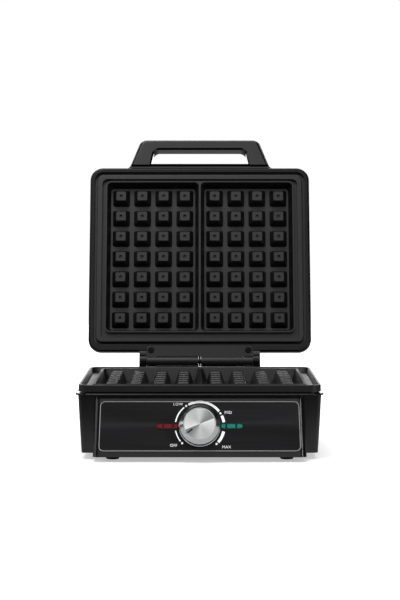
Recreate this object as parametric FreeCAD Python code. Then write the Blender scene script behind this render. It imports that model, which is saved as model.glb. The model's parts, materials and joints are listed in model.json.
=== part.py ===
"""Double Belgian waffle maker, open: a base with a lower waffle plate, and a lid with an upper plate and a
loop handle, joined by a rear hinge.

Frame: origin at the centre of the base on the surface it stands on, +X to the user's right, +Y to the rear,
+Z up. Millimetres. The lid is drawn closed, flat over the base, and then swung back about the hinge axis to
its open stop, which is its rest position.
"""

import FreeCAD, Part
import math
import os

V = FreeCAD.Vector
X_AXIS = V(1, 0, 0)
Z_AXIS = V(0, 0, 1)
ORIGIN = V(0, 0, 0)

# ---------------------------------------------------------------- driving dimensions
PLATE_W = 250.0  # waffle plate, side to side
PLATE_D = 215.0  # waffle plate, front to rear
PLATE_R = 11.0  # corner radius of the plate
RIM_TOP = 79.0  # height of the lower plate's rim above the table
RIM_H = 7.1  # height of the lower plate's visible rim
RIM_WALL = 2.5  # thickness of the lower plate's outer rim

SEAM = 3.0  # how far the lid's and base's edges stand outside the plates
LIP_H = 2.0  # thickness of the base's top frame
LID_GAP = 0.5  # gap between the closed plates
LID_H = 38.0  # height of the lid's shell
LID_ANGLE = 106.8  # opening angle at the stop

BODY_BOTTOM = 5.5  # underside of the base above the table
CONSOLE_IN_TOP = 17.0  # housing's sides inside the plate's, at the top
CONSOLE_IN_BOTTOM = 15.0
CONSOLE_TOP_SETBACK = 7.5  # front wall behind the plate's front edge, at the top
CONSOLE_TILT = 14.0  # lean of the front wall from the vertical
WALL = 2.5  # moulded wall

# Waffle pattern: pegs stand on a floor inside two moulds
MOULD_MARGIN = 14.0  # least flange left round the moulds; as many pegs as fit inside it
PEG_PITCH_X = 24.8
PEG_PITCH_Y = 24.4
PEG_BASE_X = 19.8
PEG_BASE_Y = 19.6
PEG_TOP_X = 12.0
PEG_TOP_Y = 11.5
PEG_H = 12.0
PEG_EDGE = 0.7  # bevel round a peg's top
DIMPLE_R = 1.8
DIMPLE_DEPTH = 1.5
CHANNEL_EDGE = 2.2  # floor left between the outer pegs and the mould wall
MOULD_DEPTH = 14.0
MOULD_SLOPE = 4.1  # how far the mould wall leans in over its depth
MOULD_R = 5.0
DIVIDER_HALF = 1.2  # half the width of the bar between the moulds
MOULD_SHIFT = -3.0  # moulds' centre, forward of the plate's centre
RIDGE_W = 2.6  # bead round the lower moulds
UPPER_RIDGE_W = 1.5  # bead round the upper moulds
FLOOR_T = 3.2  # casting wall under the floor

# Hinge
HINGE_BEHIND = 13.4  # axis behind the plates' rear edge
HINGE_ABOVE = 4.9  # axis above the lower rim
KNUCKLE_R = 6.0
PIN_R = 2.5
PIN_CLEARANCE = 0.05
PIN_PROUD = 0.1  # pin beyond the end knuckles
KNUCKLE_CLEARANCE = 0.45  # round a knuckle that turns past the other casting
SIDE_CLEARANCE = 0.15  # between knuckles, side by side
KNUCKLE_IN = 1.4  # half the gap between the long knuckles, filled by a spacer ring
SPACER_R = 5.8
KNUCKLE_OUT = 50.0
HINGE_HALF = 60.6
LEAF_T = 3.4
LEAF_REACH = 18.0  # far edge of the upper leaf from the axis
LOWER_LEAF_H = 34.0
LEAF_CORNER_R = 5.0
LEAF_SCREW_X = (-48.0, -16.0, 16.0, 48.0)
LEAF_SCREW_DROP = 25.0  # lower leaf's screws below the rim
LEAF_SCREW_LENGTH = 9.0
UPPER_SCREW_X = (-55.7, 55.7)
UPPER_SCREW_AHEAD = 12.2  # upper leaf's screws in front of the axis
UPPER_SCREW_LENGTH = 11.0
EAR_T = 8.2
EAR_R = 8.6
EAR_GAP = 0.3  # between the hinge and the ears
STOP_GAP = 0.35  # ears' heels to the base at the open stop

# Front panel and control
FASCIA_IN = 6.0  # fascia's sides inside the housing's
FASCIA_LOW = 11.5  # heights of the fascia's edges above the table
FASCIA_HIGH = 61.6
FASCIA_T = 1.0
FASCIA_RECESS = 0.5
FASCIA_R = 5.0
KNOB_R = 21.4
KNOB_FACE_R = 16.2
KNOB_H = 18.0
KNOB_GAP = 0.8  # knob above the fascia
KNOB_POINTER = 216.0  # direction of the pointer at rest, anticlockwise from +X seen from the front
SHAFT_R = 3.0
SHAFT_HOLE_R = 5.0
LENS_L = 22.2
LENS_H = 7.2
LENS_START = 21.9  # inner end of a lamp lens from the dial's centre
LENS_PROUD = 1.6
LENS_NOTCHES = (5.4, 15.6)  # cross grooves, from the lens's inner end
KNOB_WALL = 2.2
FACE_RECESS = 0.6
SHAFT_LENGTH = 24.0
SHAFT_IN_KNOB = 9.0
THERMOSTAT_FRONT = -8.0  # behind the front wall's face
THERMOSTAT_DEPTH = 16.0

# Base housing
CHANNEL_DEPTH = 6.0  # overflow channel round the lower moulds
LEDGE_H = 1.7  # lower plate's rim above the top frame
CONSOLE_R = 7.0
COVER_T = 2.5
POST_R = 4.5
POST_H = 22.0
POST_SIDE_IN = 6.0  # posts inside the housing's sides
POST_END_IN = 37.5  # and inside the plate's ends
VENT_COUNT = 9
VENT_PITCH = 9.0
PANEL_FRONT_IN = 15.5  # side panel's ends inside the plate's
PANEL_REAR_IN = 9.5
PANEL_BOTTOM = 7.0
PANEL_WALL = 2.2
PANEL_IN_TOP = 1.9  # side panel's outer face inside the frame's edge, at the top
PANEL_IN_BOTTOM = 5.3
PANEL_CORNER_R = 4.0
CORD_X = 70.0
CORD_Z = 24.0
CORD_BORE_R = 3.8
GLAND_R = 8.0
GLAND_IN = 6.0  # bush behind the rear wall

# Heat and wiring
ELEMENT_R = 3.2
ELEMENT_BEND = 7.0
ELEMENT_END_X = 16.0  # cold ends each side of the middle
LOWER_LEAD = 14.0
UPPER_LEAD = 9.0
REFLECTOR_T = 0.8
TERMINAL_REAR_IN = 25.5  # terminal block inside the plate's rear edge
TERMINAL_D = 16.0
TERMINAL_PITCH = 11.0
WIRE_R = 1.1
WIRE_BEND = 5.0

# Lid
LID_FRONT_INSET = 0.5  # lid's front edge behind the frame's
LID_VERTICAL = 8.0  # straight part of the shell's side
LID_INSET = 10.0  # how far the shell leans in from there to its top
LID_TOP_R = 26.0
LID_CROWN = 14.0
LIP_W = 5.3  # inturned lip that shows round the plate
LIP_REAR = 8.9
LIP_T = 3.0
LIP_ROUND = 2.4
PLATEAU_GAP = 3.2  # dark gap between the lip and the plate's raised edge
PLATEAU_W = 5.7
UPPER_GROOVE = 5.0  # depth of the groove between the bead and the raised edge
UPPER_FLANGE_LOW = 5.0  # flange above the lid's rim
UPPER_FLANGE_TOP = 8.0
LID_BOSS_SIDE_IN = 10.0  # lid's bosses inside the plate's edges
LID_BOSS_FRONT_IN = 9.5
LID_BOSS_REAR_IN = 15.5
LID_BOSS_H = 14.0

# Handle
HANDLE_REACH = 36.5  # beyond the lid's front edge
HANDLE_HALF_ROOT = 83.5
HANDLE_HALF_TIP = 69.0
HANDLE_T = 17.0
HANDLE_LIFT = 1.0  # above the lid's rim
HANDLE_STEP = 1.7  # how far the lower half's outline stands inside the upper half's
NECK_W = 4.4  # recess in the lower half beside the lid
NECK_DEPTH = 4.5
SLOT_HALF_ROOT = 57.0
SLOT_HALF_TIP = 53.0
SLOT_NEAR = 5.8  # slot edges beyond the lid's front edge
SLOT_FAR = 22.8
SLOT_R = 7.5
SLOT_BEVEL = 2.2  # bevel round the slot in the lower half
HANDLE_R = 9.0
HANDLE_UNDER = 8.0  # handle's root, let in under the lid's edge
FLARE_W = 5.0  # how far the handle's root spreads beside the lid
FLARE_L = 6.0
HANDLE_SPLIT = 8.0  # height of the seam above the handle's underside
SEAM_GAP = 0.35

FOOT_R = 8.2
FOOT_SIDE_IN = 19.5  # feet inside the housing's sides and the plate's ends
FOOT_FRONT_IN = 22.5
FOOT_REAR_IN = 17.5
FOOT_STEM_R = 3.0

CLEAR = 0.2  # fit between separate fixed pieces
SCREW_R = 1.75
SCREW_HEAD_R = 3.4

# ---------------------------------------------------------------- worked-out places
PLATE_HALF = PLATE_W / 2
PLATE_FRONT = -PLATE_D / 2
PLATE_REAR = PLATE_D / 2
EDGE_HALF = PLATE_HALF + SEAM
EDGE_FRONT = PLATE_FRONT - SEAM
EDGE_REAR = PLATE_REAR + SEAM
EDGE_R = PLATE_R + SEAM + 1.0

RIM_BOTTOM = RIM_TOP - RIM_H
FRAME_TOP = RIM_BOTTOM - LEDGE_H
FRAME_BOTTOM = FRAME_TOP - LIP_H
LID_BOTTOM = RIM_TOP + LID_GAP
LID_TOP = LID_BOTTOM + LID_H

HINGE_Y = PLATE_REAR + HINGE_BEHIND
HINGE_Z = RIM_TOP + HINGE_ABOVE
HINGE_POINT = V(0, HINGE_Y, HINGE_Z)

ROOM_X = PLATE_HALF - DIVIDER_HALF - MOULD_MARGIN
ROOM_Y = PLATE_D - 2 * (MOULD_MARGIN + abs(MOULD_SHIFT))
PEG_INSET = CHANNEL_EDGE + MOULD_SLOPE
PEG_COLUMNS = int((ROOM_X - PEG_BASE_X - 2 * PEG_INSET) // PEG_PITCH_X) + 1
PEG_ROWS = int((ROOM_Y - PEG_BASE_Y - 2 * PEG_INSET) // PEG_PITCH_Y) + 1
MOULD_FLOOR_HALF_Y = (PEG_ROWS - 1) * PEG_PITCH_Y / 2 + PEG_BASE_Y / 2 + CHANNEL_EDGE
MOULD_HALF_Y = MOULD_FLOOR_HALF_Y + MOULD_SLOPE
MOULD_FLOOR_IN = DIVIDER_HALF + MOULD_SLOPE
PEG_FIRST_X = MOULD_FLOOR_IN + CHANNEL_EDGE + PEG_BASE_X / 2
MOULD_FLOOR_OUT = PEG_FIRST_X + (PEG_COLUMNS - 1) * PEG_PITCH_X + PEG_BASE_X / 2 + CHANNEL_EDGE
MOULD_OUT = MOULD_FLOOR_OUT + MOULD_SLOPE
RIDGE_OUT = MOULD_OUT + RIDGE_W
RIDGE_HALF_Y = MOULD_HALF_Y + RIDGE_W
PAN_HALF_X = MOULD_FLOOR_OUT + FLOOR_T
PAN_HALF_Y = MOULD_FLOOR_HALF_Y + FLOOR_T
PAN_DEPTH = MOULD_DEPTH + FLOOR_T

CONSOLE_HALF_TOP = PLATE_HALF - CONSOLE_IN_TOP
CONSOLE_HALF_BOTTOM = PLATE_HALF - CONSOLE_IN_BOTTOM
FASCIA_HALF_TOP = CONSOLE_HALF_TOP - FASCIA_IN
FASCIA_HALF_BOTTOM = CONSOLE_HALF_BOTTOM - FASCIA_IN
HOUSING_REAR = PLATE_REAR + 0.3
HOUSING_TOP = FRAME_BOTTOM
CONSOLE_FRONT_TOP = PLATE_FRONT + CONSOLE_TOP_SETBACK
TILT = math.radians(CONSOLE_TILT)
CONSOLE_FRONT_BOTTOM = CONSOLE_FRONT_TOP - (HOUSING_TOP - BODY_BOTTOM) * math.tan(TILT)
COVER_TOP = BODY_BOTTOM + COVER_T
POST_X = CONSOLE_HALF_TOP - POST_SIDE_IN
POST_Y = PLATE_REAR - POST_END_IN
POST_POINTS = [(x, y) for x in (-POST_X, POST_X) for y in (-POST_Y, POST_Y)]
PANEL_FRONT = PLATE_FRONT + PANEL_FRONT_IN
PANEL_REAR = PLATE_REAR - PANEL_REAR_IN
TERMINAL_FRONT = PLATE_REAR - TERMINAL_REAR_IN - TERMINAL_D
LID_BOSS_X = PLATE_HALF - LID_BOSS_SIDE_IN
LID_BOSS_Y = (PLATE_FRONT + LID_BOSS_FRONT_IN, PLATE_REAR - LID_BOSS_REAR_IN)
LID_BOSSES = [(x, y) for x in (-LID_BOSS_X, LID_BOSS_X) for y in LID_BOSS_Y]
FOOT_X = CONSOLE_HALF_BOTTOM - FOOT_SIDE_IN
FOOT_Y = (PLATE_FRONT + FOOT_FRONT_IN, PLATE_REAR - FOOT_REAR_IN)
FOOT_POINTS = [(x, y) for y in FOOT_Y for x in (-FOOT_X, FOOT_X)]
FOOT_NAMES = ["foot_front_left", "foot_front_right", "foot_rear_left", "foot_rear_right"]
PANEL_OUT_TOP = EDGE_HALF - PANEL_IN_TOP
PANEL_OUT_BOTTOM = EDGE_HALF - PANEL_IN_BOTTOM

LOWER_ELEMENT_Z = RIM_TOP - PAN_DEPTH - ELEMENT_R - 0.1
UPPER_ELEMENT_Z = LID_BOTTOM + PAN_DEPTH + ELEMENT_R + 0.1
ELEMENT_REAR = MOULD_SHIFT + PAN_HALF_Y - 22.0
FUSE_Z = LOWER_ELEMENT_Z - ELEMENT_R - 3.8
KNOB_FOOT = FASCIA_T - FASCIA_RECESS + KNOB_GAP

END_KNUCKLE_IN = KNUCKLE_OUT + SIDE_CLEARANCE
UPPER_LEAF_Z = LID_BOTTOM + 0.2
UPPER_SCREW_Y = HINGE_Y - UPPER_SCREW_AHEAD
LEAF_SCREW_Z = RIM_TOP - LEAF_SCREW_DROP
BLOCK_FRONT = HINGE_Y - LEAF_REACH - 2.0  # front of the block the upper leaf is screwed to
HEEL_BOTTOM = FRAME_BOTTOM - 1.5
LID_FRONT = EDGE_FRONT + LID_FRONT_INSET

DIAL_Z = (FASCIA_LOW + FASCIA_HIGH) / 2


def console_front(z):
    """Y of the front wall's outer face at height z."""
    return CONSOLE_FRONT_TOP - (HOUSING_TOP - z) * math.tan(TILT)


def console_half(z):
    """Half the housing's width at height z."""
    share = (z - BODY_BOTTOM) / (HOUSING_TOP - BODY_BOTTOM)
    return CONSOLE_HALF_BOTTOM + (CONSOLE_HALF_TOP - CONSOLE_HALF_BOTTOM) * share


DIAL_POINT = V(0, console_front(DIAL_Z), DIAL_Z)
DIAL_AXIS = V(0, -math.cos(TILT), math.sin(TILT))
DIAL_UP = V(0, math.sin(TILT), math.cos(TILT))
PANEL = FreeCAD.Placement(DIAL_POINT, FreeCAD.Rotation(X_AXIS, DIAL_UP, DIAL_AXIS))


# ---------------------------------------------------------------- small builders
def rounded_wire(x0, x1, y0, y1, z, r):
    """Rectangle with rounded corners, at height z."""
    k = r * (1 - math.sqrt(0.5))
    corners = [
        (V(x1 - r, y0, z), V(x1 - k, y0 + k, z), V(x1, y0 + r, z)),
        (V(x1, y1 - r, z), V(x1 - k, y1 - k, z), V(x1 - r, y1, z)),
        (V(x0 + r, y1, z), V(x0 + k, y1 - k, z), V(x0, y1 - r, z)),
        (V(x0, y0 + r, z), V(x0 + k, y0 + k, z), V(x0 + r, y0, z)),
    ]
    edges = []
    last = corners[-1][2]
    for start, middle, end in corners:
        edges.append(Part.LineSegment(last, start).toShape())
        edges.append(Part.Arc(start, middle, end).toShape())
        last = end
    return Part.Wire(edges)


def slab(x0, x1, y0, y1, z0, z1, r):
    """Rounded plate from z0 to z1."""
    return Part.Face(rounded_wire(x0, x1, y0, y1, z0, r)).extrude(V(0, 0, z1 - z0))


def box(x0, x1, y0, y1, z0, z1):
    return Part.makeBox(x1 - x0, y1 - y0, z1 - z0, V(x0, y0, z0))


def loft(*wires):
    return Part.makeLoft(list(wires), True, True)


def rod(r, length, start, direction):
    return Part.makeCylinder(r, length, start, direction)


def profile(points, x0, x1):
    """Closed outline of (y, z) points, pushed from x0 to x1."""
    wire = Part.makePolygon([V(x0, y, z) for y, z in points + points[:1]])
    return Part.Face(wire).extrude(V(x1 - x0, 0, 0))


def at_panel(shape):
    """Moves a shape drawn in the front panel's own frame (X right, Y up the slope, Z out) onto the panel."""
    moved = shape.copy()
    moved.Placement = PANEL.multiply(moved.Placement)
    return moved


def opened(shape):
    """Swings a shape drawn on the closed lid to the open stop."""
    moved = shape.copy()
    moved.rotate(HINGE_POINT, X_AXIS, -LID_ANGLE)
    return moved


def edges_where(shape, test):
    return [e for e in shape.Edges if test(e)]


def flat_edges_at(shape, z, inside=None):
    """Edges that lie at height z, and inside the box (x0, x1, y0, y1) if one is given."""

    def test(e):
        b = e.BoundBox
        if abs(b.ZMin - z) > 1e-4 or abs(b.ZMax - z) > 1e-4:
            return False
        if inside is None:
            return True
        x0, x1, y0, y1 = inside
        return b.XMin > x0 and b.XMax < x1 and b.YMin > y0 and b.YMax < y1

    return edges_where(shape, test)


def tube_path(points, radius, bend):
    """Round tube along straight runs joined by arcs of one bend radius."""
    edges = []
    last = points[0]
    for before, corner, after in zip(points, points[1:], points[2:]):
        into = (before - corner).normalize()
        out = (after - corner).normalize()
        half = into.getAngle(out) / 2
        trim = bend / math.tan(half)
        start = corner + into * trim
        end = corner + out * trim
        bisector = (into + out).normalize()
        middle = corner + bisector * (bend / math.sin(half) - bend)
        if (start - last).Length > 1e-6:
            edges.append(Part.LineSegment(last, start).toShape())
        edges.append(Part.Arc(start, middle, end).toShape())
        last = end
    edges.append(Part.LineSegment(last, points[-1]).toShape())
    path = Part.Wire(edges)
    first = (points[1] - points[0]).normalize()
    section = Part.Wire([Part.makeCircle(radius, points[0], first)])
    return path.makePipeShell([section], True, False)


def screw(head_at, direction, length, head_r=SCREW_HEAD_R, shank_r=SCREW_R, head_h=2.2):
    """Pan-head screw with a cross recess. direction points from the head along the shank."""
    crown = head_at - direction * head_h
    head = rod(head_r, head_h, crown, direction)
    rounds = [e for e in head.Edges if isinstance(e.Curve, Part.Circle)]
    top = [e for e in rounds if (e.Curve.Center - crown).Length < 1e-6]
    head = head.makeFillet(0.8, top)
    shank = rod(shank_r, length, head_at - direction * 0.2, direction)
    bars = []
    for turn in (0, 90):
        bar = box(-head_r * 0.55, head_r * 0.55, -0.35, 0.35, 0, 1.3)
        bar.rotate(ORIGIN, Z_AXIS, turn)
        onto = FreeCAD.Placement(crown, FreeCAD.Rotation(Z_AXIS, direction))
        bar.Placement = onto.multiply(bar.Placement)
        bars.append(bar)
    return head.fuse(shank).cut(bars[0].fuse(bars[1]))


def group(shapes):
    """Separate solids kept in one node."""
    return Part.makeCompound(shapes)


NODES = {}


def keep(name, shape):
    NODES[name] = shape


# ---------------------------------------------------------------- waffle pattern
def peg(floor, up):
    """One peg on a floor at height floor, standing up (+1) or hanging down (-1), centred on the Z axis."""
    slope_x = (PEG_BASE_X - PEG_TOP_X) / 2 / PEG_H
    slope_y = (PEG_BASE_Y - PEG_TOP_Y) / 2 / PEG_H

    def section(height, inset=0.0, corner=2.2):
        half_x = PEG_BASE_X / 2 - slope_x * height - inset
        half_y = PEG_BASE_Y / 2 - slope_y * height - inset
        return rounded_wire(-half_x, half_x, -half_y, half_y, floor + up * height, corner)

    body = loft(
        section(0.0, corner=2.4),
        section(PEG_H - PEG_EDGE, corner=1.8),
        section(PEG_H, inset=PEG_EDGE * 0.7, corner=1.4),
    )
    tip = V(0, 0, floor + up * (PEG_H - DIMPLE_DEPTH))
    dimple = Part.makeCone(0.7, DIMPLE_R + 0.16, DIMPLE_DEPTH + 0.2, tip, V(0, 0, up))
    return body.cut(dimple)


def all_pegs(floor, up):
    """All the pegs of one plate. They are cast with it, and kept as solids of their own."""
    one = peg(floor, up)
    pegs = []
    for side in (-1, 1):
        for column in range(PEG_COLUMNS):
            for row in range(PEG_ROWS):
                copy = one.copy()
                x = side * (PEG_FIRST_X + column * PEG_PITCH_X)
                y = MOULD_SHIFT + (row - (PEG_ROWS - 1) / 2) * PEG_PITCH_Y
                copy.translate(V(x, y, 0))
                pegs.append(copy)
    return group(pegs)


def mould(side, opening, floor):
    """The hollow of one mould, from its opening to its floor."""
    near, far = sorted((side * DIVIDER_HALF, side * MOULD_OUT))
    floor_near, floor_far = sorted((side * MOULD_FLOOR_IN, side * MOULD_FLOOR_OUT))
    beyond = 0.02 if opening > floor else -0.02
    top = rounded_wire(
        near, far, MOULD_SHIFT - MOULD_HALF_Y, MOULD_SHIFT + MOULD_HALF_Y, opening + beyond, MOULD_R
    )
    bottom = rounded_wire(
        floor_near,
        floor_far,
        MOULD_SHIFT - MOULD_FLOOR_HALF_Y,
        MOULD_SHIFT + MOULD_FLOOR_HALF_Y,
        floor,
        MOULD_R - 1.5,
    )
    return loft(top, bottom)


# ---------------------------------------------------------------- base
def lower_plate():
    """Cast lower plate: outer rim, overflow channel, bead round the moulds, two moulds."""
    block = slab(-PLATE_HALF, PLATE_HALF, PLATE_FRONT, PLATE_REAR, RIM_BOTTOM, RIM_TOP, PLATE_R)
    block = block.makeFillet(0.8, flat_edges_at(block, RIM_TOP))
    inset = RIM_WALL * 2
    ledge = slab(
        -PLATE_HALF + inset,
        PLATE_HALF - inset,
        PLATE_FRONT + inset,
        PLATE_REAR - inset,
        FRAME_TOP,
        RIM_BOTTOM + 0.5,
        PLATE_R - inset,
    )
    pan = slab(
        -PAN_HALF_X,
        PAN_HALF_X,
        MOULD_SHIFT - PAN_HALF_Y,
        MOULD_SHIFT + PAN_HALF_Y,
        RIM_TOP - PAN_DEPTH,
        RIM_BOTTOM + 1.0,
        6.0,
    )
    plate = block.fuse([ledge, pan])
    channel = loft(
        rounded_wire(
            -PLATE_HALF + RIM_WALL,
            PLATE_HALF - RIM_WALL,
            PLATE_FRONT + RIM_WALL,
            PLATE_REAR - RIM_WALL,
            RIM_TOP + 0.02,
            PLATE_R - RIM_WALL,
        ),
        rounded_wire(
            -PLATE_HALF + RIM_WALL + 2.5,
            PLATE_HALF - RIM_WALL - 2.5,
            PLATE_FRONT + RIM_WALL + 2.5,
            PLATE_REAR - RIM_WALL - 2.5,
            RIM_TOP - CHANNEL_DEPTH,
            PLATE_R - RIM_WALL - 1.5,
        ),
    )
    island = loft(
        rounded_wire(
            -RIDGE_OUT - 1.5,
            RIDGE_OUT + 1.5,
            MOULD_SHIFT - RIDGE_HALF_Y - 1.5,
            MOULD_SHIFT + RIDGE_HALF_Y + 1.5,
            RIM_TOP - CHANNEL_DEPTH,
            MOULD_R + RIDGE_W + 1.0,
        ),
        rounded_wire(
            -RIDGE_OUT,
            RIDGE_OUT,
            MOULD_SHIFT - RIDGE_HALF_Y,
            MOULD_SHIFT + RIDGE_HALF_Y,
            RIM_TOP - 0.3,
            MOULD_R + RIDGE_W,
        ),
    )
    cap = slab(
        -RIDGE_OUT - 2,
        RIDGE_OUT + 2,
        MOULD_SHIFT - RIDGE_HALF_Y - 2,
        MOULD_SHIFT + RIDGE_HALF_Y + 2,
        RIM_TOP - 0.3,
        RIM_TOP + 1,
        MOULD_R,
    )
    plate = plate.cut(channel.cut(island)).cut(cap)
    floor = RIM_TOP - MOULD_DEPTH
    plate = plate.cut([mould(side, RIM_TOP, floor) for side in (-1, 1)])
    return plate


def top_frame():
    """Thin moulded frame between the housing and the plate. Its edge shows under the plate's rim."""
    frame = slab(-EDGE_HALF, EDGE_HALF, EDGE_FRONT, EDGE_REAR, FRAME_BOTTOM, FRAME_TOP, EDGE_R)
    frame = frame.makeFillet(0.8, flat_edges_at(frame, FRAME_TOP))
    opening = slab(
        -PAN_HALF_X - 3,
        PAN_HALF_X + 3,
        MOULD_SHIFT - PAN_HALF_Y - 3,
        MOULD_SHIFT + PAN_HALF_Y + 3,
        FRAME_BOTTOM - 1,
        FRAME_TOP + 1,
        8.0,
    )
    notch = box(-HINGE_HALF - EAR_GAP, HINGE_HALF + EAR_GAP, HOUSING_REAR, EDGE_REAR + 1, 0, FRAME_TOP + 1)
    return frame.cut([opening, notch])


def housing_form(inset, z0, z1):
    """The housing's outline between two heights, moved in by inset."""

    def section(z):
        half = console_half(z) - inset
        return rounded_wire(-half, half, console_front(z) + inset, HOUSING_REAR - inset, z, CONSOLE_R - inset)

    return loft(section(z0), section(z1))


def lens_outline(length, height, z0, z1, start=0.0):
    """Bar that is square at its inner end and bullet-shaped at its outer end, lying along +X."""
    nose = height * 0.62
    straight = start + length - nose
    end = V(start + length, 0, z0)
    top = V(straight, height / 2, z0)
    low = V(straight, -height / 2, z0)
    square_top = V(start, height / 2, z0)
    square_low = V(start, -height / 2, z0)
    bulge = V(start + length - nose * 0.34, height * 0.33, z0)
    dip = V(bulge.x, -bulge.y, z0)
    edges = [
        Part.LineSegment(square_low, low).toShape(),
        Part.Arc(low, dip, end).toShape(),
        Part.Arc(end, bulge, top).toShape(),
        Part.LineSegment(top, square_top).toShape(),
        Part.LineSegment(square_top, square_low).toShape(),
    ]
    return Part.Face(Part.Wire(edges)).extrude(V(0, 0, z1 - z0))


def mirrored_for(side, shape):
    """The shape as drawn for the right, or its mirror image for the left."""
    return shape if side > 0 else shape.mirror(ORIGIN, X_AXIS)


def fascia_face(z0, z1, grow=0.0):
    """The fascia's outline in the panel's frame: a trapezoid with rounded corners, grown by grow."""
    low = -(FASCIA_HIGH - FASCIA_LOW) / 2 / math.cos(TILT) - grow
    high = -low
    r = FASCIA_R + grow
    half_low = FASCIA_HALF_BOTTOM + grow
    half_high = FASCIA_HALF_TOP + grow
    wire = Part.makePolygon(
        [
            V(-half_low, low, z0),
            V(half_low, low, z0),
            V(half_high, high, z0),
            V(-half_high, high, z0),
            V(-half_low, low, z0),
        ]
    )
    plate = Part.Face(wire).extrude(V(0, 0, z1 - z0))
    upright = edges_where(plate, lambda e: abs(e.BoundBox.ZLength - abs(z1 - z0)) < 1e-6)
    return plate.makeFillet(r, upright)


def housing():
    """Moulded base housing: one open box with a sloping front wall, screw posts and the cord hole."""
    shell = housing_form(0, BODY_BOTTOM, HOUSING_TOP).cut(
        housing_form(WALL, BODY_BOTTOM - 1, HOUSING_TOP + 1)
    )
    cuts = [
        at_panel(fascia_face(-FASCIA_RECESS, 3.0, CLEAR)),
        at_panel(rod(SHAFT_HOLE_R, 20, V(0, 0, -10), Z_AXIS)),
        rod(GLAND_R, 10, V(CORD_X, HOUSING_REAR - 6, CORD_Z), V(0, 1, 0)),
    ]
    for side in (-1, 1):
        hole = lens_outline(LENS_L - 1.6, LENS_H - 1.6, -10, 5, LENS_START + 0.8)
        cuts.append(at_panel(mirrored_for(side, hole)))
    cuts.append(
        box(
            -CONSOLE_HALF_BOTTOM,
            CONSOLE_HALF_BOTTOM,
            MOULD_SHIFT - PAN_HALF_Y - 0.5,
            MOULD_SHIFT + PAN_HALF_Y + 0.5,
            RIM_TOP - PAN_DEPTH - 0.6,
            HOUSING_TOP + 1,
        )
    )
    shell = shell.cut(cuts)
    posts = []
    for x, y in POST_POINTS:
        post = rod(POST_R, POST_H, V(x, y, COVER_TOP + 0.2), Z_AXIS)
        side = 1 if x > 0 else -1
        near, far = sorted((x, side * (CONSOLE_HALF_TOP - 0.8)))
        web = box(near, far, y - 1.5, y + 1.5, COVER_TOP + 0.2, COVER_TOP + 0.2 + POST_H)
        posts.append(post.fuse(web).cut(rod(SCREW_R - 0.2, 14, V(x, y, COVER_TOP - 1), Z_AXIS)))
    return shell.fuse(posts)


def bottom_cover():
    """Bottom plate inside the housing's lower edge, with rows of vent slots and holes for its screws."""
    fit = WALL + CLEAR
    cover = housing_form(fit, BODY_BOTTOM, COVER_TOP)
    cuts = []
    for k in range(VENT_COUNT):
        x = (k - (VENT_COUNT - 1) / 2) * 9.0
        for y in (-30.0, 30.0):
            cuts.append(slab(x - 1.6, x + 1.6, y - 16, y + 16, BODY_BOTTOM - 1, COVER_TOP + 1, 1.5))
    for x, y in POST_POINTS:
        cuts.append(rod(SCREW_R + 0.2, 10, V(x, y, BODY_BOTTOM - 2), Z_AXIS))
        cuts.append(rod(SCREW_HEAD_R + 0.2, 1.2, V(x, y, BODY_BOTTOM - 0.2), Z_AXIS))
    for x, y in FOOT_POINTS:
        cuts.append(rod(FOOT_STEM_R + 0.1, 10, V(x, y, BODY_BOTTOM - 2), Z_AXIS))
    return cover.cut(cuts)


def foot(x, y):
    """Rubber foot, a tapered disc with a stem and a head pushed through the bottom cover."""
    disc = Part.makeCone(FOOT_R - 1.6, FOOT_R, BODY_BOTTOM, V(x, y, 0), Z_AXIS)
    disc = disc.makeFillet(0.8, flat_edges_at(disc, 0))
    stem = rod(FOOT_STEM_R, COVER_T + 1.4, V(x, y, BODY_BOTTOM), Z_AXIS)
    head = Part.makeCone(FOOT_STEM_R + 1.0, FOOT_STEM_R - 0.5, 2.0, V(x, y, COVER_TOP), Z_AXIS)
    return disc.fuse([stem, head])


def panel_block(inset, inner):
    """Right-hand side panel's form moved in by inset, its inner face at the housing's side plus inner."""
    z0 = PANEL_BOTTOM + inset
    z1 = HOUSING_TOP - 0.1 - inset
    front = PANEL_FRONT + inset
    rear = PANEL_REAR - inset
    points = [
        V(console_half(z0) + inner, front, z0),
        V(PANEL_OUT_BOTTOM - inset, front, z0),
        V(PANEL_OUT_TOP - inset, front, z1),
        V(console_half(z1) + inner, front, z1),
    ]
    block = Part.Face(Part.makePolygon(points + points[:1])).extrude(V(0, rear - front, 0))
    tall = edges_where(block, lambda e: e.BoundBox.ZLength > z1 - z0 - 0.1)
    outer = [e for e in tall if e.BoundBox.XMax > EDGE_HALF - 9]
    return block.makeFillet(PANEL_CORNER_R - inset, outer)


def side_panel(side):
    """Hollow side panel that stands off the housing's side, wider at the top than at the bottom."""
    return mirrored_for(side, panel_block(0, 0.15).cut(panel_block(PANEL_WALL, -2.0)))


def fascia():
    """Brushed sheet-steel fascia with holes for the shaft and the two lamp lenses."""
    sheet = fascia_face(-FASCIA_RECESS, FASCIA_T - FASCIA_RECESS)
    rim = [e for e in sheet.Edges if abs(e.BoundBox.ZMin - (FASCIA_T - FASCIA_RECESS)) < 1e-4]
    sheet = sheet.makeChamfer(0.4, rim)
    cuts = [rod(SHAFT_HOLE_R + 1, 6, V(0, 0, -3), Z_AXIS)]
    for side in (-1, 1):
        cuts.append(mirrored_for(side, lens_outline(LENS_L + 0.2, LENS_H + 0.2, -3, 3, LENS_START - 0.1)))
    return at_panel(sheet.cut(cuts))


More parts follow.
